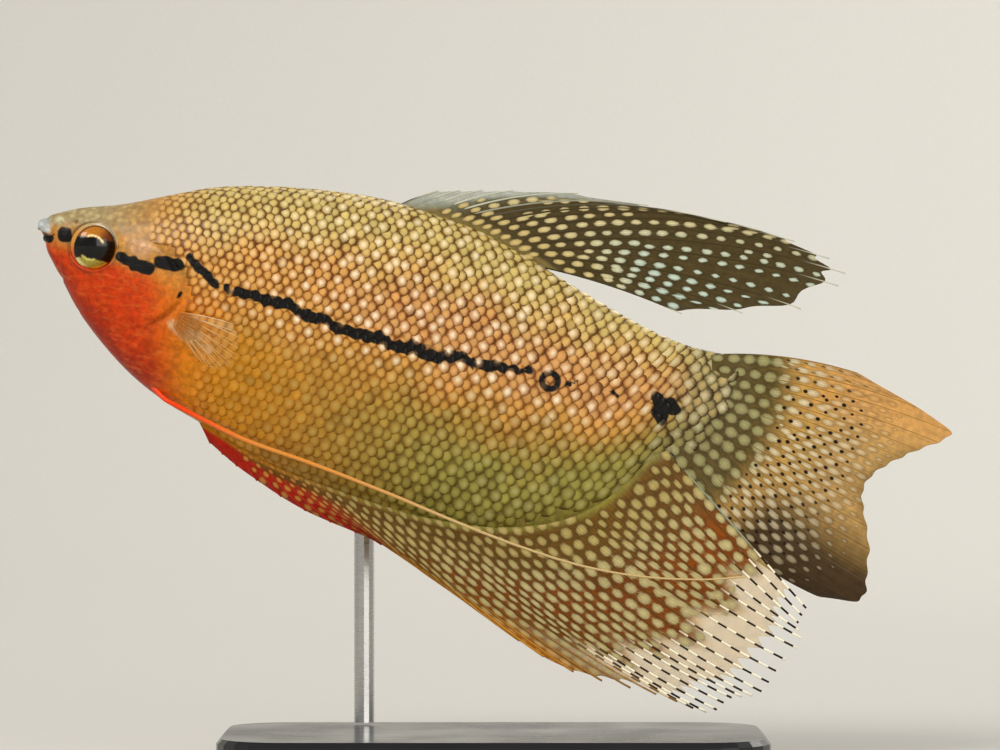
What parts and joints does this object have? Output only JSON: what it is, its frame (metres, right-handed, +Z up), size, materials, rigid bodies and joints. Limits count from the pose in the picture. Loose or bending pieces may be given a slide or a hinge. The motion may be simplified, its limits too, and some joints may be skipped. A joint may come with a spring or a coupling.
{
  "type": "pearl gourami",
  "caption": "Life-size still model of an adult male pearl gourami, swimming with its fins spread, held over a plain flat stand by one rod.",
  "frame": {"origin": "centre of the bounding box, on the underside of the stand's base", "axes": "+X from the snout to the tail, level; +Z up; +Y to the fish's right side, where the rod stands"},
  "size_m": [0.1076, 0.036, 0.0681],
  "materials": {
    "head_skin": "smooth wet skin, orange-red below and olive above",
    "flank_scales": "small glossy scales, golden brown with a pale pearl on each",
    "eye": "wet gloss, gold iris and black pupil",
    "spotted_fin": "thin ribbed membrane with rows of pale spots",
    "clear_fin": "thin, nearly clear membrane on pale rays",
    "feeler": "smooth orange thread that pales to its tip",
    "stand_plate": "black acrylic, satin",
    "stand_metal": "fine brushed round rod"
  },
  "bodies": {
    "root": {"head": "head_skin", "lower_jaw": "head_skin", "gill_cover_left": "head_skin", "gill_cover_right": "head_skin", "eye_left": "eye", "eye_right": "eye", "torso": "flank_scales", "tail_stalk": "flank_scales", "dorsal_fin": "spotted_fin", "anal_fin": "spotted_fin", "caudal_fin": "spotted_fin", "pectoral_fin_left": "clear_fin", "pectoral_fin_right": "clear_fin", "feeler_left": "feeler", "feeler_right": "feeler", "stand_base": "stand_plate", "stand_rod": "stand_metal"}
  },
  "joints": []
}
